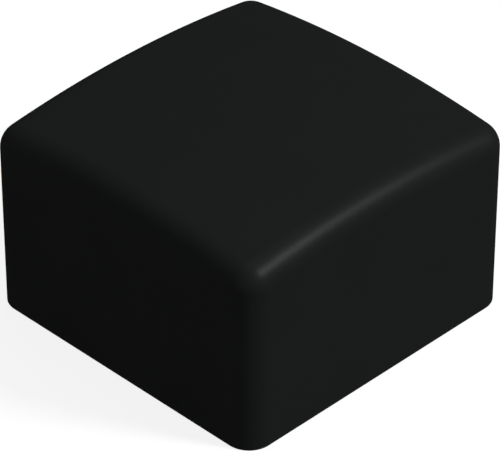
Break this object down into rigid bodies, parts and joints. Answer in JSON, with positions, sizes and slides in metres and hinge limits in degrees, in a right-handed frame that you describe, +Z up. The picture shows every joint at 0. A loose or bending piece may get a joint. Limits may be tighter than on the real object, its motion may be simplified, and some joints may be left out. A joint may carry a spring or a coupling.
{
  "type": "profile end cap",
  "caption": "Domed black plastic end cap that pushes over the outside of a square tube, with a ledge, grip ribs and crossed stiffeners inside.",
  "frame": {"origin": "centre of the mouth, on the plane of the rim that the cap stands on", "axes": "+Z up through the top of the dome; +X along the 44.3 mm side and +Y along the 44.0 mm side"},
  "size_m": [0.0444, 0.044, 0.0283],
  "materials": {
    "black_plastic": "satin"
  },
  "bodies": {
    "root": {"end_cap": "black_plastic"}
  },
  "joints": []
}
